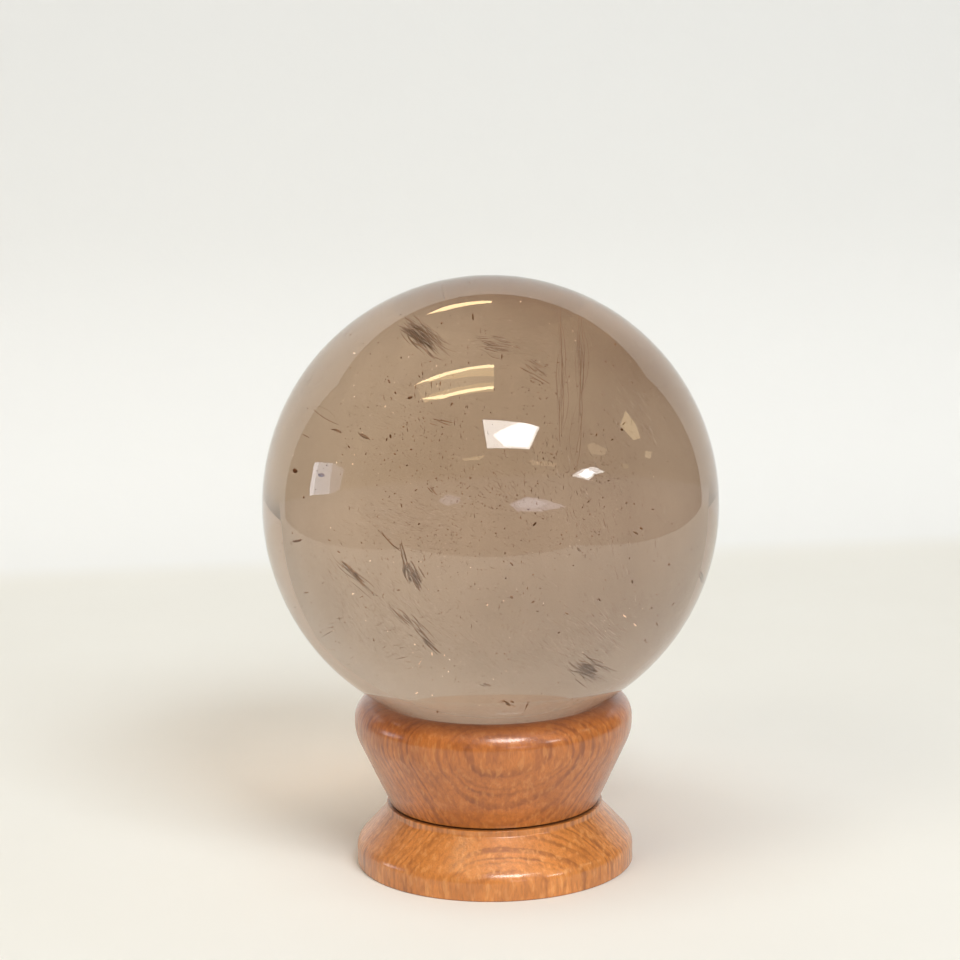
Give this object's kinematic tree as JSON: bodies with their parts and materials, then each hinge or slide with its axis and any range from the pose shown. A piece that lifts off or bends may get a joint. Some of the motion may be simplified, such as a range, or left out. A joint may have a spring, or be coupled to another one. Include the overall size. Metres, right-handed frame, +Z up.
{
  "type": "quartz sphere with stand",
  "caption": "Polished smoky quartz ball resting in the dished top of a turned hardwood stand with a narrow scored waist.",
  "frame": {"origin": "centre of the stand's flat underside, on the surface it stands on", "axes": "+Z up along the stand's turning axis, through the centre of the ball; X and Y are any two level directions, as both pieces are round"},
  "size_m": [0.1, 0.1, 0.131],
  "materials": {
    "quartz": "polished",
    "wood": "satin lacquer"
  },
  "bodies": {
    "root": {"quartz_sphere": "quartz", "turned_stand": "wood"}
  },
  "joints": []
}
